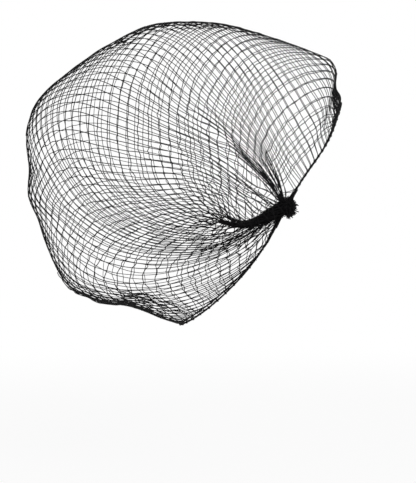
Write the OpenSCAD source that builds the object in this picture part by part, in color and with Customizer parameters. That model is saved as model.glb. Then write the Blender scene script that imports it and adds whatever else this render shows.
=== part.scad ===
// Hair net as it sits when worn: an open knotted net, bunched into a sewn gather at each side of
// the head and edged by two covered elastic cords that run from side knot to side knot.
// +X is the way the wearer faces, +Y the wearer's left, +Z up.
// The origin is midway between the two side knots, at the centre of the head opening.

/* [Net] */
// Distance between the axes of the two side knots, across the head
knot_span = 148; // [132:1:160]
// How far the net reaches behind the knots
back_reach = 201; // [184:1:218]
// How far the front edge reaches ahead of the knots, over the brow
brow_reach = 41; // [32:1:50]
// Height of the crown above the knots
crown_rise = 142.5; // [130:0.5:160]
// Depth of the bag that hangs behind the nape, below the knots
nape_drop = 90.5; // [78:0.5:100]
// How far each side swells beyond the straight run from knot to crown
side_swell = 26; // [16:1:34]
// How deep the net falls in behind the tight ridge that runs from each knot to the crown
fold_depth = 16; // [8:1:20]
// How far the net is drawn in at the waist between its back and the bag behind the nape
waist_depth = 6; // [0:1:10]
// Half meshes from the front edge to the nape edge
mesh_columns = 46; // [24:2:50]
// Half meshes from one gather to the other
mesh_rows = 28; // [20:4:32]
// Thickness of the net's cord
cord_d = 1.2; // [0.8:0.1:1.6]

/* [Elastic edge] */
// Outer diameter of the covered elastic
elastic_d = 1.6; // [1.4:0.1:2.4]
// Diameter of the rubber core
core_d = 0.9; // [0.7:0.1:1.1]
// Droop of the nape edge between a knot and the nape
nape_droop = 13; // [8:1:20]
// Droop of the front edge between a knot and the brow
brow_droop = 3; // [0:1:10]
// Length of each elastic's end that is turned back beside it
tail_length = 12; // [8:1:20]

/* [Gather] */
// Length of the sewn gather, from the knot to its inner end
gather_length = 48; // [36:1:60]
// Thickness of the gather at its fullest
gather_d = 10; // [6:0.5:11]
// Thickness of the gather at its inner end
gather_end_d = 3; // [2:0.5:5]
// How much further out the gather's inner end lies than its knot
gather_flare = 10; // [4:1:14]
// Pleats round the gather
pleat_count = 9; // [5:1:12]
// Stitches over the gather
stitch_count = 7; // [3:1:10]
// Diameter of the sewing thread
stitch_d = 0.8; // [0.5:0.1:1]

/* [Knot] */
// Diameter of the neck that the thread binds
neck_d = 6.4; // [5:0.2:8]
// Turns of binding thread
binding_turns = 4; // [3:1:6]
// Diameter of the binding thread
binding_d = 1; // [0.8:0.1:1.3]
// Width of the tuft of cut ends
tuft_d = 13; // [9:0.5:14]
// Length of the tuft, from the binding to the ends of its body
tuft_length = 5.5; // [4:0.5:10]
// Length of the cut ends that stand out of the tuft
cut_end_length = 2.5; // [1.5:0.5:4]

/* [Hidden] */

fit = 0.3;                       // running gap between soft pieces that rest on each other
core_gap = 0.05;                 // the core's clearance in its cover
edge_gap = (elastic_d + cord_d) / 2 + fit;   // elastic's axis to the edge meshes
round_fn = 48;

black = [0.03, 0.03, 0.035];
rubber = [0.16, 0.15, 0.14];

// Shape of the side outline from the brow edge, over the crown and the back, to the nape edge.
// x is a share of brow_reach ahead of the knots and of back_reach behind them,
// z a share of crown_rise above the knots and of nape_drop below them.
outline_shape = [
    [1.00, 0.56], [0.92, 0.67], [0.87, 0.76], [0.62, 0.82], [0.07, 0.88], [-0.22, 0.98],
    [-0.40, 1.00], [-0.53, 0.98], [-0.64, 0.91], [-0.76, 0.81], [-0.93, 0.62], [-0.99, 0.47],
    [-1.00, 0.34], [-0.99, 0.21], [-1.00, 0.06], [-0.96, -0.10], [-0.93, -0.30],
    [-0.85, -0.65], [-0.76, -0.76], [-0.60, -0.86], [-0.48, -0.95], [-0.41, -1.00]];

function lerp(a, b, t) = a + (b - a) * t;
function clamp(x, low, high) = min(max(x, low), high);
function unit(v) = v / norm(v);
function last(list) = list[len(list) - 1];
// 0 up to low, 1 from high on, smooth between.
function smooth(low, high, x) =
    let (t = clamp((x - low) / (high - low), 0, 1)) t * t * (3 - 2 * t);

outline_points = [for (p = outline_shape)
    [p.x * (p.x < 0 ? back_reach : brow_reach), p.y * (p.y < 0 ? nape_drop : crown_rise)]];

// Length run along a list of points, at each of them.
function running_length(points) =
    [for (i = 0, s = 0; i < len(points);
          s = s + (i + 1 < len(points) ? norm(points[i + 1] - points[i]) : 0), i = i + 1) s];

outline_runs = running_length(outline_points);

// Catmull-Rom spline through points, between points i and i + 1.
function spline(points, i, t) =
    let (a = points[max(i - 1, 0)], b = points[i],
         c = points[i + 1], d = points[min(i + 2, len(points) - 1)])
    0.5 * (2 * b + (c - a) * t + (2 * a - 5 * b + 4 * c - d) * t ^ 2
           + (3 * b - a - 3 * c + d) * t ^ 3);

// Point of the side outline, v = 0 at the brow edge and 1 at the nape edge.
function outline(v) =
    let (run = v * last(outline_runs),
         i = min(len([for (r = outline_runs) if (r <= run) r]) - 1, len(outline_runs) - 2))
    spline(outline_points, i,
           (run - outline_runs[i]) / (outline_runs[i + 1] - outline_runs[i]));

// Axis of the gather in the side view, s = 0 at the knot and 1 at its inner end: it leaves the
// knot nearly level, sags and comes back up a little at its inner end.
gather_bend = [[-0.30, -0.11], [-0.55, -0.39]] * gather_length;
gather_tip = [-0.97, -0.21] * gather_length;
function gather_side(s) =
    3 * s * (1 - s) ^ 2 * gather_bend[0] + 3 * s ^ 2 * (1 - s) * gather_bend[1]
        + s ^ 3 * gather_tip;

// Axis of the right gather in space.
function gather_axis(s) =
    let (p = gather_side(s))
    [p.x, -knot_span / 2 - gather_flare * s, p.y];
function gather_run(s) = unit(gather_axis(s + 0.01) - gather_axis(s - 0.01));

// Share of the gather's length that lies in the binding.
binding_length = binding_turns * binding_d;
neck_share = (binding_length + fit) / gather_length;
neck_r = neck_d / 2;

// Radius of the gather: a straight neck in the binding, full behind it, thin at its inner end.
function gather_radius(s) =
    let (t = max(0, s - neck_share) / (1 - neck_share), swell = sin(180 * t ^ 0.5) ^ 2)
    lerp(lerp(neck_r, gather_end_d / 2, t), gather_d / 2, 0.9 * swell);

// Where the net's end meets the gather, v = 0 at the knot's top, over the gather's inner end,
// back to 1 at the knot's underside.
turn_share = 0.12;
function gather_edge(v) =
    let (w = 2 * v - 1,
         first = neck_share + elastic_d / gather_length,
         s = lerp(first, 1, min(1, (1 - abs(w)) / (1 - turn_share))),
         angle = 180 + 90 * clamp(w / turn_share, -1, 1),
         run = gather_run(s),
         up = unit(cross(run, [0, 1, 0])),
         away = gather_radius(s) + stitch_d + fit + cord_d / 2 + fit / 2)
    gather_axis(s) - away * (up * sin(angle) + run * cos(angle));

// How full the net stands at v: 0 at its two edges, 1 between them.
function fullness(v) = 1 - (v < 0.5 ? (1 - 2 * v) ^ 3 : (2 * v - 1) ^ 7);
// How far the net hangs below the straight run from the gather to the outline at v.
function droop(v) = v < 0.5 ? brow_droop * (1 - 2 * v) ^ 2 : nape_droop * (2 * v - 1) ^ 3;

// In the next values and functions, v and every place along the outline are shares of its length
// from the brow. across and every reach are shares of the way from the gather to the crown line.
// The ridge starts here at the knot and bends back by ridge_bend before ridge_reach.
ridge_start = 0.29;
ridge_bend = 0.05;
ridge_reach = 0.4;
function ridge_place(across) = ridge_start + ridge_bend * smooth(0, ridge_reach, across);
// The net falls in just before the ridge line, is deepest behind it and comes out again slowly.
fold_run = [-0.03, 0.05, 0.24];
// The fold is deep from the first reach on, and runs out between the second and the third.
fold_reach = [0.15, 0.35, 0.9];
function fold(v, across) =
    let (behind = v - ridge_place(across))
    fold_depth
        * (smooth(fold_run[0], fold_run[1], behind) - smooth(fold_run[1], fold_run[2], behind))
        * smooth(0, fold_reach[0], across) * (1 - smooth(fold_reach[1], fold_reach[2], across));
// The waist lies here on the outline and fades out over its width and towards the gather.
waist_place = 0.70;
waist_width = 0.06;
waist_reach = [0.1, 0.5];
function waist(v, across) =
    waist_depth * exp(-((v - waist_place) / waist_width) ^ 2)
        * smooth(waist_reach[0], waist_reach[1], across);
// The bag's underside, between the bag's back and the nape edge, is flatter than its back.
underside_flat = 0.28;
underside_start = [0.70, 0.84];
underside_end = [0.90, 1];
function flatness(v) =
    underside_flat * smooth(underside_start[0], underside_start[1], v)
        * (1 - smooth(underside_end[0], underside_end[1], v));

// Row angle, 0 at the gather and 90 on the crown line. Meshes close up towards the gather, so
// they grow longer there and the rows move apart.
row_slack = 0.35;
function row_angle(half) = 90 * half * (1 + row_slack * (1 - half));

// Point of the net's right half, half = 0 at the gather and 1 on the crown line.
function net_side(half, v) =
    let (angle = row_angle(half), edge = gather_edge(v), rim = outline(v),
         across = sin(angle) ^ (1 - flatness(v)),
         plan = lerp([edge.x, edge.z], rim, across) - [0, 4 * droop(v) * across * (1 - across)],
         swell = side_swell * fullness(v) * 2 * across * cos(angle))
    [plan.x, edge.y * cos(angle) - swell + fold(v, across) + waist(v, across), plan.y];

// Point of the whole net. u = 0 at the right gather, 0.5 on the crown line, 1 at the left gather.
function net_surface(u, v) =
    u <= 0.5 ? net_side(2 * u, v) : let (p = net_side(2 - 2 * u, v)) [p.x, -p.y, p.z];

// Short step of u or v that finds the net's direction at a place.
probe = 0.004;
// Outward normal of the net.
function net_normal(u, v) =
    let (u0 = max(0, u - probe), u1 = min(1, u + probe),
         v0 = max(0, v - probe), v1 = min(1, v + probe))
    unit(cross(net_surface(u1, v) - net_surface(u0, v), net_surface(u, v1) - net_surface(u, v0)));

// Step of v that shows which way the net leaves its edge.
rim_step = 0.02;
// Place of the net's knot in row i and column j. Edge meshes stay off the elastic's axis.
function mesh_knot(i, j) =
    let (u = i / mesh_rows, v = j / mesh_columns, p = net_surface(u, v),
         inward = j == 0 ? 1 : j == mesh_columns ? -1 : 0)
    inward == 0 ? p
        : p + edge_gap * unit(net_surface(u, v + inward * rim_step) - p);

// Every second grid place holds a knot, so the cords between knots are diagonals.
function has_knot(i, j) =
    i >= 0 && i <= mesh_rows && j >= 0 && j <= mesh_columns && (i + j) % 2 == 0;
knots = [for (i = [0:mesh_rows]) for (j = [0:mesh_columns]) if (has_knot(i, j)) [i, j]];
// Place of each knot in the list above; two rows together hold mesh_columns + 1 knots.
function knot_index(i, j) =
    floor(i / 2) * (mesh_columns + 1) + (i % 2) * (mesh_columns / 2 + 1) + floor(j / 2);

// The four ways a cord leaves a knot, as steps of row and column, anticlockwise from outside,
// each with the corners of the knot's top face that it starts from and those it arrives at.
ways = [[1, 1], [-1, 1], [-1, -1], [1, -1]];

// From a knot's middle to a corner of its top face, as a share of the cord's thickness.
knot_reach = 0.72;
// A knot has five points: four corners round its top face, then the one under it.
function knot_points(k) =
    let (i = k[0], j = k[1], p = mesh_knot(i, j),
         u = i / mesh_rows, v = j / mesh_columns, out = net_normal(u, v),
         along = unit(cross(cross(out, net_surface(min(1, u + probe), v)
             - net_surface(max(0, u - probe), v)), out)),
         beside = cross(out, along), reach = knot_reach * cord_d, top = p + out * cord_d / 2)
    [top + along * reach, top + beside * reach, top - along * reach, top - beside * reach,
     p - out * cord_d / 2];

function quad(a, b, c, d) = [[a, b, c], [a, c, d]];

// Faces round knot k: its top, then a cord or a closing face for each way.
function knot_faces(k) =
    let (i = k[0], j = k[1], a = 5 * knot_index(i, j))
    concat(quad(a, a + 1, a + 2, a + 3),
        [for (w = [0:3])
            let (near = a + w, far = a + (w + 1) % 4, step = ways[w],
                 other = [i + step[0], j + step[1]])
            each !has_knot(other[0], other[1]) ? [[near, a + 4, far]]
                : step[0] < 0 ? []
                : let (b = 5 * knot_index(other[0], other[1]),
                       near_end = b + (w + 3) % 4, far_end = b + (w + 2) % 4)
                  concat(quad(near, near_end, far_end, far),
                         quad(near, a + 4, b + 4, near_end),
                         quad(far, far_end, b + 4, a + 4))]);

module net() {
    points = [for (k = knots) each knot_points(k)];
    faces = [for (k = knots) each knot_faces(k)];
    color(black) polyhedron(points, turned(faces), convexity = 20);
}

// Ring of points round a path's point.
function ring(at, along, reference, radius, sides) =
    let (x = unit(cross(along, reference)), y = cross(along, x))
    [for (k = [0:sides - 1])
        at + radius * (x * cos(360 * k / sides) + y * sin(360 * k / sides))];

function path_run(path, i) = unit(path[min(i + 1, len(path) - 1)] - path[max(i - 1, 0)]);

// Triangles between rings of points, and their other side.
function tube_faces(rings, sides, first) =
    [for (i = [0:rings - 2]) for (k = [0:sides - 1])
        let (a = first + i * sides + k, b = first + i * sides + (k + 1) % sides)
        each quad(a, b, b + sides, a + sides)];
function turned(faces) = [for (f = faces) [for (k = [len(f) - 1:-1:0]) f[k]]];

// Solid cord along a path, with its own radius at each point.
module cord(path, radii, sides, reference) {
    n = len(path);
    points = [for (i = [0:n - 1]) each ring(path[i], path_run(path, i), reference, radii[i], sides)];
    faces = concat([[for (k = [sides - 1:-1:0]) k]],
        tube_faces(n, sides, 0),
        [[for (k = [0:sides - 1]) (n - 1) * sides + k]]);
    polyhedron(points, turned(faces), convexity = 8);
}

// Hollow tube along a path.
module sleeve(path, outer, inner, sides, reference) {
    n = len(path);
    points = concat(
        [for (i = [0:n - 1]) each ring(path[i], path_run(path, i), reference, outer, sides)],
        [for (i = [0:n - 1]) each ring(path[i], path_run(path, i), reference, inner, sides)]);
    inside = n * sides;
    end = (n - 1) * sides;
    faces = concat(
        tube_faces(n, sides, 0),
        turned(tube_faces(n, sides, inside)),
        [for (k = [0:sides - 1]) let (m = (k + 1) % sides) each
            concat(quad(m, k, inside + k, inside + m),
                quad(end + k, end + m, inside + end + m, inside + end + k))]);
    polyhedron(points, turned(faces), convexity = 8);
}

// The elastics lie in the plane of the head opening, so its normal is their reference.
opening_normal = let (across = last(outline_points) - outline_points[0])
    unit([-across.y, 0, across.x]);

elastic_rings = 36;
elastic_sides = 8;
core_sides = 6;
// An elastic starts beside the neck of one knot and ends beside the other's.
elastic_start = 0.005;
function edge_path(v) =
    [for (i = [0:elastic_rings - 1])
        net_surface(lerp(elastic_start, 1 - elastic_start, i / (elastic_rings - 1)), v)];

module elastic_cover(v) {
    color(black) sleeve(edge_path(v), elastic_d / 2, core_d / 2 + core_gap, elastic_sides,
        opening_normal);
}

module elastic_core(v) {
    color(rubber) cord(edge_path(v), [for (i = [1:elastic_rings]) core_d / 2], core_sides,
        opening_normal);
}

module front_elastic_cover() elastic_cover(0);
module front_elastic_core() elastic_core(0);
module nape_elastic_cover() elastic_cover(1);
module nape_elastic_core() elastic_core(1);

// The left side's pieces mirror the right side's.
module on_left() mirror([0, 1, 0]) children();

gather_rings = 18;
gather_sides = 2 * pleat_count;
pleat_depth = 0.16;   // share of the gather's radius
module gather() {
    path = [for (i = [0:gather_rings - 1]) gather_axis(i / (gather_rings - 1))];
    points = [for (i = [0:gather_rings - 1])
        let (s = i / (gather_rings - 1), r = gather_radius(s),
             wide = ring(path[i], path_run(path, i), [0, 1, 0], r, gather_sides),
             narrow = ring(path[i], path_run(path, i), [0, 1, 0], r * (1 - pleat_depth),
                 gather_sides))
        each [for (k = [0:gather_sides - 1]) k % 2 == 0 ? wide[k] : narrow[k]]];
    n = gather_sides;
    faces = concat([[for (k = [n - 1:-1:0]) k]], tube_faces(gather_rings, n, 0),
        [[for (k = [0:n - 1]) (gather_rings - 1) * n + k]]);
    color(black) polyhedron(points, turned(faces), convexity = 8);
}

module right_gather() gather();
module left_gather() on_left() gather();

// Stands children on the gather's axis at s, their Z along it, away from the knot.
module on_gather(s) {
    run = gather_run(s);
    translate(gather_axis(s))
        rotate([0, acos(run.z), atan2(run.y, run.x)]) children();
}

// Thread rings over the gather, leaning to and fro as overcast stitches do.
stitch_lean = 9;
module stitches() {
    color(black)
    for (k = [1:stitch_count])
        let (s = k / (stitch_count + 1))
        on_gather(s) rotate([stitch_lean * (k % 2 == 0 ? 1 : -1), 0, 0])
            rotate_extrude($fn = round_fn)
                translate([gather_radius(s) + stitch_d / 2 + fit / 2, 0])
                    circle(d = stitch_d, $fn = 16);
}

module right_stitches() stitches();
module left_stitches() on_left() stitches();

// Binding thread: a closed sleeve round the gather's neck with one rounded rib for each turn.
rib_steps = 6;
module binding() {
    bore = neck_r + fit;
    ribs = [for (t = [0:binding_turns - 1]) for (k = [0:rib_steps - 1])
        let (a = 180 * k / rib_steps)
        [bore + binding_d * (0.45 + 0.5 * sin(a)), binding_d * (t + 0.5 - 0.5 * cos(a))]];
    color(black) on_gather(0)
        rotate_extrude($fn = round_fn)
            polygon(concat([[bore, 0]], ribs,
                [[bore + 0.45 * binding_d, binding_length], [bore, binding_length]]));
}

module right_binding() binding();
module left_binding() on_left() binding();

// The tuft is a brush of cut ends: a pleated body that flares out of the binding and breaks up
// into points round a hollow end.
tuft_points = 11;
tuft_sides = 2 * tuft_points;
// Rings along the tuft: height, radius at a point of the brush and radius between two points.
tuft_rings = let (r = tuft_d / 2)
    [[fit, neck_r, neck_r], [0.25 * tuft_length, 0.9 * r, 0.75 * r],
     [0.6 * tuft_length, r, 0.8 * r], [tuft_length, r, 0.75 * r]];
module tuft() {
    n = tuft_sides;
    end = last(tuft_rings);
    // At the end every second corner runs on as a cut end, and the middle is sunk.
    tip = [for (k = [0:n - 1]) let (point = k % 2 == 0, a = 360 * k / n)
        [(point ? 1.1 : 0.6) * end[1] * cos(a), (point ? 1.1 : 0.6) * end[1] * sin(a),
         end[0] + (point ? cut_end_length : -0.2 * tuft_length)]];
    hollow = [for (k = [0:n - 1]) let (point = k % 2 == 1, a = 360 * k / n)
        [0.45 * end[1] * cos(a), 0.45 * end[1] * sin(a),
         end[0] + (point ? 0.7 * cut_end_length : -0.3 * tuft_length)]];
    rings = [for (t = tuft_rings) [for (k = [0:n - 1])
        let (a = 360 * k / n, r = t[1 + k % 2]) [r * cos(a), r * sin(a), t[0]]]];
    all = concat(rings, [tip, hollow]);
    count = len(all);
    points = concat([for (r = all) each r], [[0, 0, end[0] - 0.1 * tuft_length]]);
    faces = concat([[for (k = [n - 1:-1:0]) k]], tube_faces(count, n, 0),
        [for (k = [0:n - 1]) [(count - 1) * n + k, (count - 1) * n + (k + 1) % n, count * n]]);
    color(black) on_gather(0) mirror([0, 0, 1])
        polyhedron(points, turned(faces), convexity = 12);
}

module right_tuft() tuft();
module left_tuft() on_left() tuft();

// An elastic's end, turned back beside it on the side of the net.
tail_steps = 8;
tail_setback = 0.01;             // step of u from the elastic's end to the tail's start
tail_end = 0.7;                  // thickness of its two ends, as a share of its own
module tail(v) {
    u0 = elastic_start + tail_setback;
    u1 = u0 + tail_setback;
    span = norm(net_surface(u1, v) - net_surface(u0, v)) / (u1 - u0);
    path = [for (i = [0:tail_steps])
        let (u = u0 + tail_length / span * i / tail_steps, p = net_surface(u, v),
             out = net_normal(u, v == 0 ? rim_step : 1 - rim_step))
        p + out * (elastic_d + fit)];
    color(black) cord(path, [for (i = [0:tail_steps])
        elastic_d / 2 * (i == 0 || i == tail_steps ? tail_end : 1)], elastic_sides, [0, 1, 0]);
}

module right_front_tail() tail(0);
module left_front_tail() on_left() tail(0);
module right_nape_tail() tail(1);
module left_nape_tail() on_left() tail(1);

net();
front_elastic_cover();
front_elastic_core();
nape_elastic_cover();
nape_elastic_core();
right_gather();
left_gather();
right_stitches();
left_stitches();
right_binding();
left_binding();
right_tuft();
left_tuft();
right_front_tail();
left_front_tail();
right_nape_tail();
left_nape_tail();
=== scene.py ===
"""Hair net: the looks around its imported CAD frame.

The net is laid mesh by mesh on a form of the worn shape. In a few light rounds its cords then pull
towards one length, while the form, the two gathers and the two elastics hold its knots.
Lengths are in metres, +X is the way the wearer faces, +Y the wearer's left, +Z up.
"""

import math

import bpy
import numpy as np
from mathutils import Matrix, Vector
from mathutils.bvhtree import BVHTree


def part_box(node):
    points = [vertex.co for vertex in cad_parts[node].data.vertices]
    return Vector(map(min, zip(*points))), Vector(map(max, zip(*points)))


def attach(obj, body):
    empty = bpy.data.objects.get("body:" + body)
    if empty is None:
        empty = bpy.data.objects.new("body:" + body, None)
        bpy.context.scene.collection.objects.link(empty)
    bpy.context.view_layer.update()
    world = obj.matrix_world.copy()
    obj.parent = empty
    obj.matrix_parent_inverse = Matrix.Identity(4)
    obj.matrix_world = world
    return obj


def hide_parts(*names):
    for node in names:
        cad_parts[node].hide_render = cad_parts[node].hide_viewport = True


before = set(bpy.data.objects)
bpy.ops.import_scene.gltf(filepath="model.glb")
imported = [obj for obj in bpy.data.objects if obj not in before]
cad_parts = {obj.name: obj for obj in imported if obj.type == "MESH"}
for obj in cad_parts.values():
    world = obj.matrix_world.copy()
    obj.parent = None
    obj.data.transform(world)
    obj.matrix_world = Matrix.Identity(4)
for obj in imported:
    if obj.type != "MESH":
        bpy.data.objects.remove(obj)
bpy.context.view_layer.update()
rng = np.random.default_rng(7)

# ---------------------------------------------------------------- sizes from the frame

net_low, net_high = (np.array(corner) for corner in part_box("net"))
elastic_high = np.array(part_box("front_elastic_core")[1])

CORD_RADIUS = 0.0003           # net cord
MESH_SIDE = 0.0072             # cord length that the bars pull towards, from knot to knot
ROWS = 84                      # half meshes from gather to gather
COLUMNS = 106                  # half meshes from the brow to the nape
ROUNDS = 8                     # rounds in which the cords pull even
ELASTIC_RADIUS = 0.0006        # covered elastic
THREAD_RADIUS = 0.0003         # sewing thread
STITCH_COUNT = 7               # overcast stitches over each gather
BINDING_TURNS = 4              # turns of thread round each neck
TAIL_START = 0.003             # from the knot, where an elastic's turned back end begins
TAIL_LENGTH = 0.012
UNEVEN = 0.0009                # how far the knots by a gather lie off their even places

# the net's knots lie a little inside the CAD net's box
INSET = 0.0016
back_reach = -net_low[0] - INSET
brow_reach = elastic_high[0] - INSET / 2
crown_rise = net_high[2] - INSET
nape_drop = -net_low[2] - INSET / 2
knot_y = 0.074                 # from the middle plane to each side knot
gather_length = 0.048
gather_flare = 0.010           # how much further out a gather's inner end lies

BROW_DROOP = 0.001
NAPE_DROOP = 0.013
BROW_BOW = 0.088
NAPE_BOW = 0.055
SIDE_SWELL = 0.026
FOLD_DEPTH = 0.016             # hollow behind the ridge
KNOT_FOLD_DEPTH = 0.008        # how much deeper the hollow is beside the knot
WAIST_DEPTH = 0.006
PLEAT_DEPTH = 0.0016
PLEAT_COUNT = 24               # pleats across the whole of the net's end


def smooth(edge0, edge1, x):
    """0 below edge0, 1 above edge1, smooth between."""
    t = np.clip((x - edge0) / (edge1 - edge0), 0, 1)
    return t * t * (3 - 2 * t)


# ---------------------------------------------------------------- the worn shape

# Side outline from the brow edge over the crown to the nape edge, as shares of the reaches. It is the
# CAD's outline with a notch above the front edge and a hollow in the underside.
OUTLINE = [
    (1.00, 0.56), (0.99, 0.60), (0.89, 0.65), (0.94, 0.70), (0.90, 0.76), (0.80, 0.80),
    (0.62, 0.82), (0.07, 0.88), (-0.22, 0.98), (-0.40, 1.00), (-0.53, 0.98), (-0.64, 0.91),
    (-0.76, 0.81), (-0.93, 0.62), (-0.99, 0.47), (-1.00, 0.34), (-0.99, 0.21), (-1.00, 0.06),
    (-0.96, -0.10), (-0.93, -0.30), (-0.85, -0.65), (-0.76, -0.77), (-0.70, -0.82),
    (-0.62, -0.83), (-0.56, -0.87), (-0.48, -0.95), (-0.41, -1.00)]


def catmull(points, steps):
    """Dense Catmull-Rom curve through points."""
    points = np.asarray(points, float)
    ends = np.vstack([points[0], points, points[-1]])
    t = np.linspace(0, 1, steps, endpoint=False)[:, None]
    parts = []
    for a, b, c, d in zip(ends, ends[1:], ends[2:], ends[3:]):
        parts.append(0.5 * (2 * b + (c - a) * t + (2 * a - 5 * b + 4 * c - d) * t ** 2
                            + (3 * b - a - 3 * c + d) * t ** 3))
    return np.vstack(parts + [points[-1:]])


def resample(curve, shares):
    """Points of a polyline at shares of its length."""
    run = np.concatenate([[0], np.cumsum(np.linalg.norm(np.diff(curve, axis=0), axis=1))])
    where = np.asarray(shares) * run[-1]
    return np.stack([np.interp(where, run, curve[:, k]) for k in range(curve.shape[1])], -1)


outline_points = np.array([
    (x * (back_reach if x < 0 else brow_reach), z * (nape_drop if z < 0 else crown_rise))
    for x, z in OUTLINE])
outline_curve = catmull(outline_points, 12)


def gather_side(s):
    """Gather's axis in the side view (x, z), s = 0 at the knot and 1 at its inner end."""
    s = np.asarray(s, float)[..., None]
    level = np.array([-0.30, -0.11]) * gather_length
    sag = np.array([-0.55, -0.39]) * gather_length
    tip = np.array([-0.97, -0.21]) * gather_length
    return 3 * s * (1 - s) ** 2 * level + 3 * s ** 2 * (1 - s) * sag + s ** 3 * tip


def gather_axis(s):
    """Right gather's axis in space."""
    side = gather_side(s)
    s = np.asarray(s, float)
    return np.stack([side[..., 0], -knot_y - gather_flare * s, side[..., 1]], -1)


# Where the net's end meshes sit on the gather: (share of the end, share of the gather's length).
# The first meshes crowd at the knot's top, the middle ones round the inner end.
SEAM_V = [0.0, 0.30, 0.36, 0.46, 0.52, 0.60, 0.74, 0.90, 1.0]
SEAM_S = [0.02, 0.05, 0.22, 0.80, 0.97, 1.0, 0.86, 0.36, 0.06]
# Rows tied up in the knots: (share of the end, rows).
TIED_V = [0.0, 0.12, 0.30, 0.42, 0.51, 0.66, 0.85, 1.0]
TIED_ROWS = [14.0, 14.0, 6.0, 0.0, 0.0, 0.0, 5.0, 12.0]
# Each front corner is cut off at 45 degrees: the elastic runs along this many meshes' sides, which
# take up this share of its half length.
CUT = 15
CUT_SHARE = 0.80


def seam(v):
    """Places of the net's end meshes on the right gather, v = 0 on top of the knot, 1 under it."""
    s = np.interp(v, SEAM_V, SEAM_S)
    side = np.interp(v, [0, 0.46, 0.62, 1], [1, 0.8, -0.8, -1])
    radius = 0.0040 * (1 - 0.60 * s)
    point = gather_axis(s)
    point[..., 2] += side * radius
    point[..., 1] -= 0.4 * radius
    return point


def fullness(v):
    """How far the net swells out at the side: fully in the middle, not at all at its edges."""
    return 1 - np.where(v < 0.5, (1 - 2 * v) ** 3, np.abs(2 * v - 1) ** 7)


def ridge_place(across):
    """Where the tight ridge from the knot to the crown crosses, as a share of the outline."""
    return 0.29 + 0.05 * smooth(0.0, 0.4, across)


def crowd(v, across):
    """Shape's v for the net's v: columns crowd together on the ridge, most of all near the knot."""
    ridge = ridge_place(across)
    fade = smooth(0.45, 0.95, across)
    front = (1 - fade) * (ridge - 0.09) + fade * 0.23
    back = (1 - fade) * (ridge + 0.08) + fade * 0.33
    total = 0
    for step in (-0.025, 0, 0.025):
        w = v + step
        total = total + np.where(
            w < 0.235, w / 0.235 * front,
            np.where(w < 0.365, front + (w - 0.235) / 0.13 * (back - front),
                     back + (w - 0.365) / 0.635 * (1 - back)))
    placed = np.clip(total / 3, 0, 1)
    # close to the elastics the columns crowd too
    near = smooth(0.3, 0.8, across)
    placed = np.where(placed < 0.11, 0.11 * (placed / 0.11) ** (1 + 1.1 * near), placed)
    return np.where(placed > 0.82, 1 - 0.18 * ((1 - placed) / 0.18) ** (1 + 1.2 * near), placed)


def worn_side(angle, v):
    """Point of the worn shape's right half, angle = 0 at the gather and pi/2 on the crown line."""
    edge = gather_axis(np.interp(v, SEAM_V, SEAM_S))
    rim = resample(outline_curve, np.ravel(v)).reshape(np.shape(v) + (2,))
    # the underside is flatter than a round one
    across = np.sin(angle) ** (1 - 0.42 * smooth(0.72, 0.84, v) * (1 - smooth(0.93, 1.0, v))
                               - 0.12 * smooth(0.05, 0.15, v) * (1 - smooth(0.40, 0.55, v)))
    droop = np.where(v < 0.5, BROW_DROOP * (1 - 2 * v) ** 2, NAPE_DROOP * np.abs(2 * v - 1) ** 3)
    # the front edge bows out close to the brow, the nape edge close to the knot
    bow = np.where(v < 0.5, BROW_BOW * (1 - 2 * v) ** 2 * across ** 3 * (1 - across),
                   NAPE_BOW * np.abs(2 * v - 1) ** 3 * across * (1 - across) ** 4)
    x = edge[..., 0] + (rim[..., 0] - edge[..., 0]) * across
    z = edge[..., 2] + (rim[..., 1] - edge[..., 2]) * across - 4 * droop * across * (1 - across) - bow
    # columns leave the roll square to it, then bend round to their place on the outline
    above = smooth(0.30, 0.44, v) * (1 - smooth(0.44, 0.60, v))
    below = smooth(0.62, 0.90, v) * (1 - smooth(0.95, 1.0, v))
    x = x + 0.020 * below * across ** 0.5 * (1 - across) ** 3
    apart = smooth(0.54, 0.66, v) * (1 - smooth(0.7, 1.0, v))
    z = z + (0.15 * above - 0.03 * apart) * across * (1 - across) ** 2 \
        - 0.030 * below * across ** 0.5 * (1 - across) ** 3
    # the side swells, but falls in behind the ridge, at the waist and between the gather's pleats
    lobe = 2 * across * np.cos(angle)
    off = v - ridge_place(across)
    depth = FOLD_DEPTH + KNOT_FOLD_DEPTH * (1 - smooth(0.2, 0.5, across))
    valley = depth * (smooth(-0.03, 0.05, off) - smooth(0.05, 0.24, off)) \
        * smooth(0.0, 0.15, across) * (1 - smooth(0.35, 0.9, across))
    pleats = PLEAT_DEPTH * np.sin(2 * math.pi * PLEAT_COUNT * v) * smooth(0.27, 0.36, v) \
        * (1 - smooth(0.56, 0.66, v)) * smooth(0.06, 0.2, across) * (1 - smooth(0.4, 0.75, across))
    waist = WAIST_DEPTH * np.exp(-((v - 0.70) / 0.06) ** 2) * smooth(0.1, 0.5, across)
    y = edge[..., 1] * np.cos(angle) - SIDE_SWELL * fullness(v) * lobe + valley + waist + pleats
    return np.stack([x, y, z], -1)


def worn_shape(u, v):
    """Point of the whole worn shape, u = 0 at the right gather and 1 at the left one."""
    u, v = np.broadcast_arrays(u, v)
    half = 1 - np.abs(2 * u - 1)
    angle = 0.5 * math.pi * half * (1 + 0.35 * (1 - half))
    point = worn_side(angle, v)
    point[..., 1] *= np.where(u > 0.5, -1, 1)
    return point


# ---------------------------------------------------------------- draping the net

def form_tree():
    """Search tree over the worn shape."""
    rows, columns = 120, 150
    u = np.linspace(0, 1, rows + 1)[:, None]
    v = np.linspace(0, 1, columns + 1)[None, :]
    points = worn_shape(u, v).reshape(-1, 3)
    faces = []
    for i in range(rows):
        for j in range(columns):
            a = i * (columns + 1) + j
            faces.append((a, a + columns + 1, a + columns + 2, a + 1))
    return BVHTree.FromPolygons([Vector(p) for p in points], faces)


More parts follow.
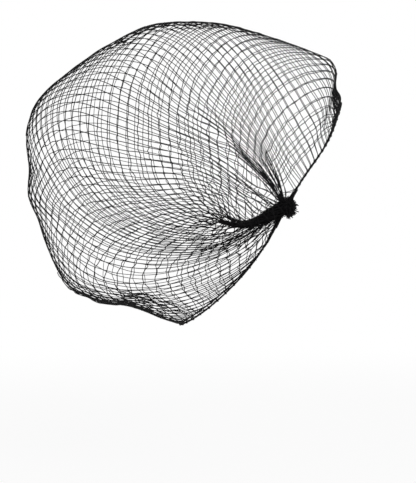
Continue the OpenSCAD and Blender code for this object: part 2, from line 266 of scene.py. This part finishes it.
def rim_angle(share):
    """Row angle at a share of the elastic's half length, counted from the knot."""
    angle = np.linspace(0, 0.5 * math.pi, 200)
    rim = worn_side(angle, 0.0)
    run = np.concatenate([[0], np.cumsum(np.linalg.norm(np.diff(rim, axis=0), axis=1))])
    return np.interp(share * run[-1], run, angle)


def lay_net():
    """Knot places X[row, column] as laid on the worn shape, which of them are knots, and which of
    those are tied up in a gather. Rows run from gather to gather, columns from brow to nape."""
    half_rows = ROWS // 2
    rows, columns = np.arange(ROWS + 1)[:, None], np.arange(COLUMNS + 1)
    from_end = np.minimum(rows, ROWS - rows)
    v = columns / COLUMNS
    tied = np.interp(v, TIED_V, TIED_ROWS)
    spare = np.maximum(0, CUT - columns)
    quarter = np.linspace(0, 1, 160)
    X = np.zeros((ROWS + 1, COLUMNS + 1, 3))
    for j in columns:
        begin = rim_angle(CUT_SHARE * spare[j] / CUT)
        angle = begin + (0.5 * math.pi - begin) * quarter
        away = (np.sin(angle) - math.sin(begin)) / (1 - math.sin(begin))
        path = worn_side(angle, crowd(v[j], np.sin(angle)) * away ** (0.7 * (spare[j] / CUT) ** 0.5))
        first = tied[j] + spare[j]
        share = np.clip((np.arange(half_rows + 1) - first) / (half_rows - first), 0, 1)
        X[:half_rows + 1, j] = resample(path, share)
    knot = ((rows + columns) % 2 == 0) & (from_end >= np.where(spare > 0, tied + spare, 0))
    held = knot & (from_end <= tied)
    X[:half_rows + 1] = np.where((from_end <= tied)[:half_rows + 1, :, None] & (spare == 0)[:, None],
                                 seam(crowd(v, 0.0)), X[:half_rows + 1])
    X[half_rows + 1:] = X[half_rows - 1::-1] * (1, -1, 1)
    return X, knot, held


def edge_knots(knot, held):
    """Knots that sit on the front elastic and on the nape elastic, as (row, column) pairs."""
    front, nape = [], []
    for i in range(ROWS + 1):
        line = np.flatnonzero(knot[i] & ~held[i])
        if len(line) and line[0] <= CUT and (line[0] == 0 or not knot[i, :line[0]].any()):
            front.append((i, line[0]))
        if knot[i, COLUMNS] and not held[i, COLUMNS]:
            nape.append((i, COLUMNS))
    return front, nape


def drape(rounds):
    """The laid net after some rounds in which its cords pull even on the worn shape."""
    X, knot, held = lay_net()
    laid = X.copy()
    free = knot & ~held
    X += np.where(free[..., None], rng.normal(0, 0.0004, X.shape), 0)
    weight = np.where(held, 0.0, 1.0)
    front, nape = edge_knots(knot, held)
    rims = [(front, worn_shape(np.linspace(0, 1, 600), 0.0)),
            (nape, worn_shape(np.linspace(0, 1, 600), 1.0))]
    tree = form_tree()
    places = np.argwhere(free)

    def pull(first, second, w1, w2):
        """Shortens stretched bars all the way, and lets slack ones out a little."""
        gap = second - first
        length = np.linalg.norm(gap, axis=-1, keepdims=True) + 1e-12
        share = (length - MESH_SIDE) / length / (w1 + w2 + 1e-12)[..., None]
        share = np.where(share > 0, share, share * 0.02)
        first += w1[..., None] * share * gap
        second -= w2[..., None] * share * gap

    for _ in range(rounds):
        for _ in range(6):
            for start in (0, 1):
                for one, two in ((slice(0, -1), slice(1, None)), (slice(1, None), slice(0, -1))):
                    count = (ROWS + 1 - start) // 2
                    a, b = slice(start, start + 2 * count, 2), slice(start + 1, None, 2)
                    live = knot[a, one][:count] & knot[b, two][:count]
                    pull(X[a, one][:count], X[b, two][:count],
                         weight[a, one][:count] * live, weight[b, two][:count] * live)
        # the cords run on through their knots as they were laid
        moved = X - laid
        mean = 0.25 * (moved[:-2, :-2] + moved[2:, 2:] + moved[:-2, 2:] + moved[2:, :-2])
        X[1:-1, 1:-1] += np.where(free[1:-1, 1:-1, None], 0.20 * (mean - moved[1:-1, 1:-1]), 0)
        for i, j in places:
            place, _, _, _ = tree.find_nearest(Vector(X[i, j]))
            X[i, j] += 0.6 * (np.array(place) - X[i, j])
        for knots, rim in rims:
            for i, j in knots:
                X[i, j] = rim[np.argmin(((rim - X[i, j]) ** 2).sum(1))]
    # the crumpled meshes round the gathers' inner halves lie less evenly
    axis = gather_axis(np.linspace(0.5, 1, 14))
    axis = np.vstack([axis, axis * (1, -1, 1)])
    gap = np.linalg.norm(X[:, :, None] - axis, axis=-1).min(-1)
    uneven = UNEVEN * (1 - smooth(0.008, 0.040, gap)) * free
    for i, j in front + nape:
        uneven[i, j] = 0
    X += np.random.default_rng(11).normal(0, 1, X.shape) * uneven[..., None]
    return X, knot, held


X, knot, held = drape(ROUNDS)
front_knots, nape_knots = edge_knots(knot, held)


# ---------------------------------------------------------------- meshes

class Strands:
    """Collects tubes and lumps, then makes one mesh piece of them."""

    def __init__(self):
        self.points, self.faces, self.shares = [], [], []
        self.count = 0

    def add(self, points, faces, shares):
        self.points.append(points)
        self.faces += [tuple(self.count + k for k in face) for face in faces]
        self.shares.append(shares)
        self.count += len(points)

    def tube(self, path, radius, sides=4, ring=False, ribs=None):
        """A tube along path. radius is one number or one for each point, ribs scales each corner."""
        path = np.asarray(path, float)
        n = len(path)
        if ring:
            tangent = np.roll(path, -1, axis=0) - np.roll(path, 1, axis=0)
        else:
            tangent = np.gradient(path, axis=0)
        tangent /= np.linalg.norm(tangent, axis=1, keepdims=True) + 1e-12
        side = np.cross(tangent[0], (0.31, 0.27, 0.91))
        across = np.empty_like(path)
        for k in range(n):
            side = side - tangent[k] * (side @ tangent[k])
            side /= np.linalg.norm(side) + 1e-12
            across[k] = side
        other = np.cross(tangent, across)
        angle = np.linspace(0, 2 * math.pi, sides, endpoint=False)
        reach = np.broadcast_to(radius, (n,))[:, None] * (1 if ribs is None else ribs)
        points = path[:, None] + np.broadcast_to(reach, (n, sides))[..., None] * (
            across[:, None] * np.cos(angle)[None, :, None]
            + other[:, None] * np.sin(angle)[None, :, None])
        faces = []
        for k in range(n if ring else n - 1):
            a, b = k * sides, (k + 1) % n * sides
            for m in range(sides):
                m2 = (m + 1) % sides
                faces.append((a + m, a + m2, b + m2, b + m))
        if not ring:
            faces.append(tuple(reversed(range(sides))))
            faces.append(tuple(range((n - 1) * sides, n * sides)))
        run = np.concatenate([[0], np.cumsum(np.linalg.norm(np.diff(path, axis=0), axis=1))])
        shares = np.stack(np.broadcast_arrays(
            (np.arange(sides) / sides)[None, :], run[:, None] * 1000), -1)
        self.add(points.reshape(-1, 3), faces, shares.reshape(-1, 2))

    def lump(self, place, axes):
        """A small knot: an icosahedron with its own three axes."""
        self.add(place + ICO_POINTS @ axes, ICO_FACES, np.zeros((12, 2)))

    def piece(self, name, material, *nodes, slot):
        mesh = bpy.data.meshes.new(name)
        mesh.from_pydata(np.concatenate(self.points).tolist(), [], self.faces)
        corner = np.empty(len(mesh.loops), dtype=np.int32)
        mesh.loops.foreach_get("vertex_index", corner)
        layer = mesh.uv_layers.new(name="along")
        layer.data.foreach_set("uv", np.concatenate(self.shares)[corner].ravel())
        mesh.shade_smooth()
        mesh.materials.append(material)
        piece = bpy.data.objects.new(name, mesh)
        bpy.context.scene.collection.objects.link(piece)
        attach(piece, "root")
        if nodes:
            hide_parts(*nodes)
        return piece


golden = (1 + 5 ** 0.5) / 2
ICO_POINTS = np.array([(s * a, t * b, 0) for s in (1, -1) for t in (1, -1)
                       for a, b in ((1, golden),)])
ICO_POINTS = np.vstack([ICO_POINTS, np.roll(ICO_POINTS, 1, axis=1), np.roll(ICO_POINTS, 2, axis=1)])
ICO_POINTS /= np.linalg.norm(ICO_POINTS[0])


def hull_faces(points):
    """Outward triangles of a regular solid: each trio of neighbours."""
    gap = np.linalg.norm(points[:, None] - points[None], axis=2)
    edge = np.sort(gap[0])[1] * 1.01
    faces = []
    for a in range(len(points)):
        for b in range(a + 1, len(points)):
            for c in range(b + 1, len(points)):
                if max(gap[a, b], gap[b, c], gap[a, c]) < edge:
                    out = np.cross(points[b] - points[a], points[c] - points[a]) @ points[a]
                    faces.append((a, b, c) if out > 0 else (a, c, b))
    return faces


ICO_FACES = hull_faces(ICO_POINTS)


def unit(v):
    """Vectors scaled to length 1."""
    return v / (np.linalg.norm(v, axis=-1, keepdims=True) + 1e-12)


def wander(count, step, reach):
    """Smooth random offsets along a strand of count points."""
    t = np.arange(count)[:, None] * step
    total = np.zeros((count, 3))
    for wave in (1.0, 2.3):
        total += np.sin(t * wave + rng.uniform(0, 6.28, 3)) * rng.uniform(0.4, 1, 3) / wave
    return total * reach


# ---------------------------------------------------------------- materials

def material(name, dark, light, rough, scale, twist=0.0, strength=0.25, sheen=0.0):
    """Dyed yarn or rubber: mottled colour and gloss, with filaments wound round each strand."""
    made = bpy.data.materials.new(name)
    made.use_nodes = True
    nodes, links = made.node_tree.nodes, made.node_tree.links
    shader = nodes["Principled BSDF"]
    place = nodes.new("ShaderNodeTexCoord")
    mottle = nodes.new("ShaderNodeTexNoise")
    mottle.inputs["Scale"].default_value = scale
    mottle.inputs["Detail"].default_value = 4.0
    links.new(place.outputs["Object"], mottle.inputs["Vector"])
    ramp = nodes.new("ShaderNodeValToRGB")
    ramp.color_ramp.elements[0].position = 0.35
    ramp.color_ramp.elements[0].color = (*dark, 1)
    ramp.color_ramp.elements[1].position = 0.70
    ramp.color_ramp.elements[1].color = (*light, 1)
    links.new(mottle.outputs["Fac"], ramp.inputs["Fac"])
    links.new(ramp.outputs["Color"], shader.inputs["Base Color"])
    gloss = nodes.new("ShaderNodeMapRange")
    gloss.inputs["To Min"].default_value = rough - 0.08
    gloss.inputs["To Max"].default_value = rough + 0.12
    links.new(mottle.outputs["Fac"], gloss.inputs["Value"])
    links.new(gloss.outputs["Result"], shader.inputs["Roughness"])
    # filaments: stripes that run round the strand as they run along it
    stripes = nodes.new("ShaderNodeTexWave")
    stripes.wave_type = "BANDS"
    stripes.bands_direction = "DIAGONAL"
    stripes.inputs["Scale"].default_value = 1.0
    stripes.inputs["Distortion"].default_value = 0.6
    turn = nodes.new("ShaderNodeMapping")
    turn.inputs["Scale"].default_value = (3.0, twist, 1.0)
    links.new(place.outputs["UV"], turn.inputs["Vector"])
    links.new(turn.outputs["Vector"], stripes.inputs["Vector"])
    bump = nodes.new("ShaderNodeBump")
    bump.inputs["Strength"].default_value = strength
    bump.inputs["Distance"].default_value = 0.0001
    links.new(stripes.outputs["Fac"], bump.inputs["Height"])
    links.new(bump.outputs["Normal"], shader.inputs["Normal"])
    shader.inputs["Specular IOR Level"].default_value = 0.06
    shader.inputs["Sheen Weight"].default_value = sheen
    shader.inputs["Sheen Roughness"].default_value = 0.5
    return made


cord_look = material("net_cord", (0.003, 0.003, 0.0035), (0.010, 0.0095, 0.010), 0.50, 900, twist=1.2)
cover_look = material("elastic_cover", (0.004, 0.004, 0.0045), (0.014, 0.013, 0.014), 0.62, 700,
                      twist=2.0, sheen=0.02)
rubber_look = material("elastic_core", (0.30, 0.24, 0.17), (0.42, 0.35, 0.26), 0.45, 500,
                       strength=0.1)
thread_look = material("thread", (0.003, 0.003, 0.0035), (0.011, 0.010, 0.011), 0.55, 1200,
                       twist=1.6, sheen=0.02)


# ---------------------------------------------------------------- the net

BAR_STEPS = 2


def cord_runs(way):
    """Knots along each straight run of cord, from elastic or gather to elastic or gather."""
    for offset in range(-ROWS - COLUMNS, ROWS + COLUMNS + 1):
        run = []
        for i in range(ROWS + 1):
            j = offset + way * i
            if 0 <= j <= COLUMNS and knot[i, j]:
                if held[i, j] and run and held[run[-1]]:
                    run = [(i, j)] if len(run) == 1 else run
                    continue
                run.append((i, j))
        if len(run) > 1:
            yield run


def smooth_cord(knots):
    """Cord through its knots, with the spare length of a slack stretch let out sideways."""
    ends = np.vstack([2 * knots[0] - knots[1], knots, 2 * knots[-1] - knots[-2]])
    a, b, c, d = ends[:-3], ends[1:-2], ends[2:-1], ends[3:]
    span = np.linalg.norm(c - b, axis=1)
    slack = np.sqrt(np.clip(span * (MESH_SIDE - span), 0, None)) * 0.64
    out = unit(0.5 * (b + c) - CENTRE)
    aside = unit(np.cross(c - b, out))
    lean = rng.normal(0, 1, (len(b), 2))
    bow = (aside * lean[:, :1] + out * lean[:, 1:] * 0.5) * (0.22 * slack)[:, None]
    rows = []
    for k in range(BAR_STEPS):
        t = k / BAR_STEPS
        curve = 0.5 * (2 * b + (c - a) * t + (2 * a - 5 * b + 4 * c - d) * t ** 2
                       + (3 * b - a - 3 * c + d) * t ** 3)
        rows.append(curve + bow * math.sin(math.pi * t))
    path = np.stack(rows, 1).reshape(-1, 3)
    return np.vstack([path, knots[-1:]])


CENTRE = np.array([0.5 * (net_low[0] + net_high[0]), 0, 0.5 * (net_low[2] + net_high[2])])

cords = Strands()
for way in (1, -1):
    for run in cord_runs(way):
        cords.tube(smooth_cord(np.array([X[place] for place in run])), CORD_RADIUS)
cords.piece("net_cords", cord_look, "net", slot="net_cord")

lumps = Strands()
for i, j in np.argwhere(knot & ~held):
    place = X[i, j]
    out = unit(place - CENTRE)
    run = X[min(i + 1, ROWS), min(j + 1, COLUMNS)] - X[max(i - 1, 0), max(j - 1, 0)]
    run = unit(run - out * (run @ out))
    size = CORD_RADIUS * rng.uniform(1.5, 2.0)
    lumps.lump(place, np.array([run * 1.2, np.cross(out, run), out * 0.9]) * size)
lumps.piece("net_knots", cord_look, slot="net_cord")


# ---------------------------------------------------------------- the elastic edges

def rim_path(v, count):
    """The whole elastic's axis as count evenly spaced points."""
    return resample(worn_shape(np.linspace(0, 1, 400), v), np.linspace(0, 1, count))


def braid(path, sides):
    """Ribs of a braided sleeve: two sets of yarns crossing each other."""
    run = np.arange(len(path))[:, None]
    turn = np.arange(sides)[None, :] / sides * 2 * math.pi
    over = np.sin(4 * turn + run * 0.9)
    under = np.sin(4 * turn - run * 0.9)
    return 1 + 0.10 * np.maximum(over, under)


for name, v, edge in (("front", 0.0, front_knots), ("nape", 1.0, nape_knots)):
    path = rim_path(v, 520)
    cover = Strands()
    cover.tube(path, ELASTIC_RADIUS, 12, ribs=braid(path, 12))
    cover.piece(f"{name}_elastic_braid", cover_look, f"{name}_elastic_cover", slot="elastic_cover")
    core = Strands()
    core.tube(path[::4], ELASTIC_RADIUS * 0.5, 6)
    core.piece(f"{name}_elastic_rubber", rubber_look, f"{name}_elastic_core", slot="elastic_core")
    loops = Strands()
    for i, j in edge:
        place = X[i, j]
        near = np.argmin(((path - place) ** 2).sum(1))
        along = unit(path[min(near + 1, 519)] - path[max(near - 1, 0)] + rng.normal(0, 0.0004, 3))
        one = unit(np.cross(along, (0.3, 0.1, 0.9)))
        two = np.cross(along, one)
        turn = np.linspace(0, 2 * math.pi, 10, endpoint=False)[:, None]
        circle = path[near] + (ELASTIC_RADIUS + CORD_RADIUS) * 1.05 * (
            one * np.cos(turn) + two * np.sin(turn))
        loops.tube(circle, CORD_RADIUS, 4, ring=True)
    loops.piece(f"{name}_edge_loops", cord_look, slot="net_cord")


# ---------------------------------------------------------------- spare meshes by the edges

def along_brow(bundle):
    """Meshes folded in behind the front elastic, side by side with it across the brow."""
    for _ in range(8):
        reach = rng.uniform(0.14, 0.30)
        u = np.linspace(0.5 - reach, 0.5 + reach * rng.uniform(0.6, 1.0), 90)
        wide = 1 - smooth(0.05, 0.30, np.abs(u - 0.5))
        zigzag = 0.0035 * np.sin(u * rng.uniform(180, 240) + rng.uniform(0, 6.28))
        path = worn_shape(u, np.clip((rng.uniform(0, 0.030) + zigzag) * wide, 0, 1))
        bundle.tube(path + wander(90, 0.4, 0.0003), CORD_RADIUS)


def along_underside(bundle):
    """Meshes bunched along the underside, from the back to the nape."""
    for _ in range(22):
        start = rng.uniform(0.80, 0.90)
        v = np.linspace(start, rng.uniform(start + 0.06, 1.0), 60)
        aside = rng.uniform(-0.22, 0.22) * smooth(0.74, 0.86, v)
        zigzag = 0.006 * np.sin(v * rng.uniform(250, 350) + rng.uniform(0, 6.28))
        bundle.tube(worn_shape(0.5 + aside + zigzag, v) + wander(60, 0.4, 0.0003), CORD_RADIUS)


def along_crown(bundle):
    """Meshes bunched along the top, from the brow to the back."""
    for _ in range(17):
        start = rng.uniform(0.06, 0.38)
        v = np.linspace(start, start + rng.uniform(0.10, 0.24), 80)
        aside = rng.uniform(-0.11, 0.11)
        zigzag = 0.003 * np.sin(v * rng.uniform(120, 180) + rng.uniform(0, 6.28))
        bundle.tube(worn_shape(0.5 + aside + zigzag, v) + wander(80, 0.4, 0.0002), CORD_RADIUS)


for build, piece in ((along_brow, "brow_fold"), (along_underside, "underside_fold"),
                     (along_crown, "crown_fold")):
    bundle = Strands()
    build(bundle)
    bundle.piece(piece, cord_look, slot="net_cord")


# ---------------------------------------------------------------- gathers and knots

def roll_radius(s):
    """Radius of the rolled-up end meshes, widest a little behind the knot."""
    return np.interp(s, [-0.05, 0.05, 0.15, 0.30, 0.40, 0.50, 0.60, 0.70, 0.85, 1.1],
                     [0.0032, 0.0048, 0.0054, 0.0050, 0.0043, 0.0034, 0.0027, 0.0022, 0.0015, 0.0006])


def roll_frame(s):
    """Axis places and two directions across it, at s along the right gather."""
    at = gather_axis(s)
    run = unit(gather_axis(np.asarray(s) + 0.01) - gather_axis(np.asarray(s) - 0.01))
    up = unit(np.cross(run, (0, 1, 0)))
    return at, run, up, np.cross(run, up)


def on_roll(s, turn, reach):
    """Places at polar angle turn and distance reach from the gather's axis."""
    at, _, up, aside = roll_frame(s)
    return at + (up * np.cos(turn)[:, None] + aside * np.sin(turn)[:, None]) * reach[:, None]


def gather_strands(bundle):
    """The net's end, rolled up: crinkled strands from the knot, leaving the roll one by one."""
    for _ in range(80):
        end = rng.uniform(0.40, 0.97)
        s = np.linspace(-0.04, end, 30)
        turn = rng.uniform(0, 6.28) + 1.5 * s + rng.normal(0, 0.1)
        reach = roll_radius(s) * math.sqrt(rng.uniform(0.05, 0.95))
        path = on_roll(s, turn, reach) + wander(30, 0.9, 0.0005)
        bundle.tube(path, CORD_RADIUS * rng.uniform(0.9, 1.2))
    # half meshes caught across the roll
    for _ in range(60):
        start = rng.uniform(0.0, 0.9)
        s = np.linspace(start, start + rng.uniform(0.10, 0.2), 12)
        turn = rng.uniform(0, 6.28) + np.linspace(0, rng.uniform(-2.2, 2.2), 12)
        path = on_roll(s, turn, roll_radius(s) * rng.uniform(0.8, 1.05)) + wander(12, 1.0, 0.0003)
        bundle.tube(path, CORD_RADIUS)
    # cut ends on the underside, close to the knot
    for _ in range(26):
        s = rng.uniform(0.02, 0.30)
        start = on_roll(np.array([s]), np.array([math.pi + rng.normal(0, 0.6)]),
                        roll_radius(np.array([s])) * 0.8)[0]
        way = unit(np.array([rng.normal(0.1, 0.5), rng.normal(-0.3, 0.4), -1.0]))
        length = rng.uniform(0.0012, 0.0030)
        t = np.linspace(0, 1, 6)[:, None]
        bend = rng.normal(0, 0.25, 3)
        bundle.tube(start + (way * t + bend * t ** 2) * length, CORD_RADIUS)


def along_rim(v, run):
    """Places on an elastic's right half, at distances run from the knot."""
    rim = worn_shape(np.linspace(0, 0.5, 300), v)
    so_far = np.concatenate([[0], np.cumsum(np.linalg.norm(np.diff(rim, axis=0), axis=1))])
    return np.stack([np.interp(run, so_far, rim[:, k]) for k in range(3)], -1)


def corner_strands(bundle, v, length, radius, count):
    """Rows tied up in the knot, lying along the elastic's first stretch."""
    for _ in range(count):
        reach = length * rng.uniform(0.5, 1.1)
        t = np.linspace(0, 1, 16)
        place = along_rim(v, t * reach)
        away = rng.normal(0, 1, 3)
        wide = radius * math.sqrt(rng.uniform(0.1, 1)) * (1 - 0.7 * t[:, None])
        path = place + unit(away) * wide + wander(16, 0.8, 0.00025)
        bundle.tube(path, CORD_RADIUS)


def tuft_fibres(bundle):
    """Cut ends standing out of the knot like a short brush."""
    axis = unit(np.array([0.93, -0.25, 0.10]))
    for _ in range(520):
        way = unit(axis * rng.uniform(-0.1, 1.0) + unit(rng.normal(0, 1, 3)) * 0.95)
        length = 0.0066 * rng.uniform(0.88, 1.06) * (0.90 + 0.16 * abs(way[2]))
        t = np.linspace(0, 1, 7)[:, None]
        bend = np.array([0.10, 0, -0.20]) + rng.normal(0, 0.16, 3)
        start = np.array([-0.0012, -knot_y, 0.0008]) + rng.normal(0, 0.0009, 3)
        path = start + (way * t + bend * t ** 2) * length + wander(7, 0.9, 0.00015)
        bundle.tube(path, CORD_RADIUS * rng.uniform(0.8, 1.1))


def knot_turns(bundle):
    """The bunched meshes crossing over themselves in the knot."""
    centre = gather_axis(np.array(0.0))
    for _ in range(70):
        normal = unit(np.array([0.9, -0.1, 0.35]) + rng.normal(0, 0.45, 3))
        one = unit(np.cross(normal, rng.normal(0, 1, 3)))
        two = np.cross(normal, one)
        turn = np.linspace(0, 2 * math.pi, 22, endpoint=False)[:, None]
        wide = 0.0050 * rng.uniform(0.6, 1.05)
        path = centre + normal * rng.uniform(-0.0034, 0.0034) + wide * (
            one * np.cos(turn) + two * np.sin(turn) * rng.uniform(0.8, 1.0))
        bundle.tube(path, CORD_RADIUS * 1.2, 5, ring=True)


def overcast(bundle):
    """Thread thrown over the roll in leaning loops."""
    for k in range(STITCH_COUNT):
        s = (k + 1) / (STITCH_COUNT + 1)
        at, run, up, aside = roll_frame(np.array(s))
        lean = 0.25 * (1 if k % 2 else -1)
        turn = np.linspace(0, 2 * math.pi, 26, endpoint=False)[:, None]
        reach = roll_radius(s) * 1.04 + CORD_RADIUS
        path = at + reach * (up * np.cos(turn) + aside * np.sin(turn)
                             + run * lean * np.cos(turn)) + wander(26, 0.5, 0.0001)
        bundle.tube(path, THREAD_RADIUS, 5, ring=True)


def binding(bundle):
    """Thread of two plies wound tightly round the neck, its ends tucked in."""
    n = BINDING_TURNS * 22
    along = np.linspace(0.0006, 0.0046, n)
    at, run, up, aside = roll_frame(np.array(0.0))
    turn = np.linspace(0, 2 * math.pi * BINDING_TURNS, n)[:, None]
    tuck = np.minimum(1, np.minimum(np.arange(n), np.arange(n)[::-1]) / 6)[:, None]
    reach = 0.0030 + 0.0012 * tuck + 0.0001 * np.sin(5 * turn)
    path = at + run * along[:, None] + reach * (up * np.cos(turn) + aside * np.sin(turn))
    for ply in (0, math.pi):
        wind = np.linspace(0, 60 * math.pi, n)[:, None] + ply
        radial = up * np.cos(turn) + aside * np.sin(turn)
        bundle.tube(path + 0.00022 * (radial * np.cos(wind) + run * np.sin(wind)), 0.00026, 5)


def elastic_tail(bundle, v):
    """An elastic's end, turned back beside it where it leaves the knot."""
    place = along_rim(v, np.linspace(TAIL_START, TAIL_START + TAIL_LENGTH, 60))
    path = place + unit(place - CENTRE) * ELASTIC_RADIUS * 2.1
    bundle.tube(path, ELASTIC_RADIUS, 10, ribs=braid(path, 10))


for name, side in (("right", 1), ("left", -1)):
    flip = np.array([1.0, side, 1.0])

    def made(build, piece, look, *nodes, slot):
        bundle = Strands()
        build(bundle)
        bundle.points = [p * flip for p in bundle.points]
        if side < 0:
            bundle.faces = [face[::-1] for face in bundle.faces]
        bundle.piece(f"{name}_{piece}", look, *nodes, slot=slot)

    made(gather_strands, "gather_roll", cord_look, f"{name}_gather", slot="net_cord")
    made(lambda b: corner_strands(b, 0.0, 0.016, 0.0030, 64), "front_corner", cord_look,
         slot="net_cord")
    made(lambda b: corner_strands(b, 1.0, 0.030, 0.0020, 18), "nape_corner", cord_look,
         slot="net_cord")
    made(tuft_fibres, "tuft_fibres", cord_look, f"{name}_tuft", slot="net_cord")
    made(knot_turns, "knot_turns", cord_look, slot="net_cord")
    made(overcast, "overcast", thread_look, f"{name}_stitches", slot="thread")
    made(binding, "wound_binding", thread_look, f"{name}_binding", slot="thread")
    made(lambda b: elastic_tail(b, 0.0), "front_tail_cord", cover_look, f"{name}_front_tail",
         slot="elastic_cover")
    made(lambda b: elastic_tail(b, 1.0), "nape_tail_cord", cover_look, f"{name}_nape_tail",
         slot="elastic_cover")


# ---------------------------------------------------------------- floor, light and camera

def seen_ray(nodes, links):
    """Socket that is 1 for what the camera sees, directly, in a reflection or through glass."""
    path = nodes.new("ShaderNodeLightPath")
    seen = nodes.new("ShaderNodeMath")
    seen.operation = "MAXIMUM"
    links.new(path.outputs["Is Camera Ray"], seen.inputs[0])
    links.new(path.outputs["Is Glossy Ray"], seen.inputs[1])
    also = nodes.new("ShaderNodeMath")
    also.operation = "MAXIMUM"
    links.new(seen.outputs[0], also.inputs[0])
    links.new(path.outputs["Is Transmission Ray"], also.inputs[1])
    return also.outputs[0]


def plain(name, colour):
    """White to the camera and in reflections, while the part near the object takes its shadow."""
    made = bpy.data.materials.new(name)
    made.use_nodes = True
    nodes, links = made.node_tree.nodes, made.node_tree.links
    nodes.clear()
    out = nodes.new("ShaderNodeOutputMaterial")
    place = nodes.new("ShaderNodeTexCoord")
    away = nodes.new("ShaderNodeVectorMath")
    away.operation = "LENGTH"
    links.new(place.outputs["Object"], away.inputs[0])
    fade = nodes.new("ShaderNodeMapRange")
    fade.interpolation_type = "SMOOTHSTEP"
    fade.inputs["From Min"].default_value = 0.30
    fade.inputs["From Max"].default_value = 0.95
    fade.inputs["To Min"].default_value = 0.88
    links.new(away.outputs["Value"], fade.inputs["Value"])
    share = nodes.new("ShaderNodeMath")
    share.operation = "MULTIPLY"
    links.new(seen_ray(nodes, links), share.inputs[0])
    links.new(fade.outputs["Result"], share.inputs[1])
    diffuse = nodes.new("ShaderNodeBsdfDiffuse")
    diffuse.inputs["Color"].default_value = (*colour, 1)
    glow = nodes.new("ShaderNodeEmission")
    glow.inputs["Color"].default_value = (1, 1, 1, 1)
    mix = nodes.new("ShaderNodeMixShader")
    links.new(share.outputs[0], mix.inputs[0])
    links.new(diffuse.outputs[0], mix.inputs[1])
    links.new(glow.outputs[0], mix.inputs[2])
    links.new(mix.outputs[0], out.inputs["Surface"])
    return made


def pale_world():
    """Even light on the object, and plain white where the camera looks past the floor."""
    world = bpy.data.worlds.new("studio")
    world.use_nodes = True
    nodes, links = world.node_tree.nodes, world.node_tree.links
    nodes.clear()
    out = nodes.new("ShaderNodeOutputWorld")
    level = nodes.new("ShaderNodeMapRange")
    level.inputs["To Min"].default_value = 0.55
    level.inputs["To Max"].default_value = 1.0
    links.new(seen_ray(nodes, links), level.inputs["Value"])
    sky = nodes.new("ShaderNodeBackground")
    sky.inputs["Color"].default_value = (1, 1, 1, 1)
    links.new(level.outputs["Result"], sky.inputs["Strength"])
    links.new(sky.outputs[0], out.inputs["Surface"])
    return world


FLOOR_LEVEL = -0.195
FLOOR_REACH = 4

floor_mesh = bpy.data.meshes.new("floor")
floor_corners = [(x * FLOOR_REACH, y * FLOOR_REACH, FLOOR_LEVEL)
                 for x, y in ((-1, -1), (1, -1), (1, 1), (-1, 1))]
floor_mesh.from_pydata(floor_corners, [], [(0, 1, 2, 3)])
floor_mesh.materials.append(plain("floor", (0.93, 0.93, 0.93)))
floor = bpy.data.objects.new("floor", floor_mesh)
bpy.context.scene.collection.objects.link(floor)

bpy.context.scene.world = pale_world()


def lamp(name, place, size, power):
    """A round soft lamp that faces the middle of the net."""
    light = bpy.data.lights.new(name, "AREA")
    light.shape = "DISK"
    light.size = size
    light.energy = power
    holder = bpy.data.objects.new(name, light)
    holder.location = place
    aim = Vector(CENTRE) - Vector(place)
    holder.rotation_euler = aim.to_track_quat("-Z", "Y").to_euler()
    bpy.context.scene.collection.objects.link(holder)


lamp("key", (0.9, -1.5, 1.4), 1.2, 14)
lamp("fill", (-1.6, -1.0, 0.7), 1.4, 6)

camera = bpy.data.objects.new("camera", bpy.data.cameras.new("camera"))
camera.data.type = "PERSP"
camera.data.sensor_fit = "AUTO"
camera.data.sensor_width = 36
camera.data.lens = 106.67
camera.data.clip_start = 0.05
# level with the side knots, so the far one hides behind the near one
camera.location = (0, -1.100, 0)
aim = Vector((-0.0608, 0, -0.0266)) - camera.location
camera.rotation_euler = aim.to_track_quat("-Z", "Y").to_euler()
bpy.context.scene.collection.objects.link(camera)
bpy.context.scene.camera = camera
bpy.context.scene.view_settings.view_transform = "Standard"
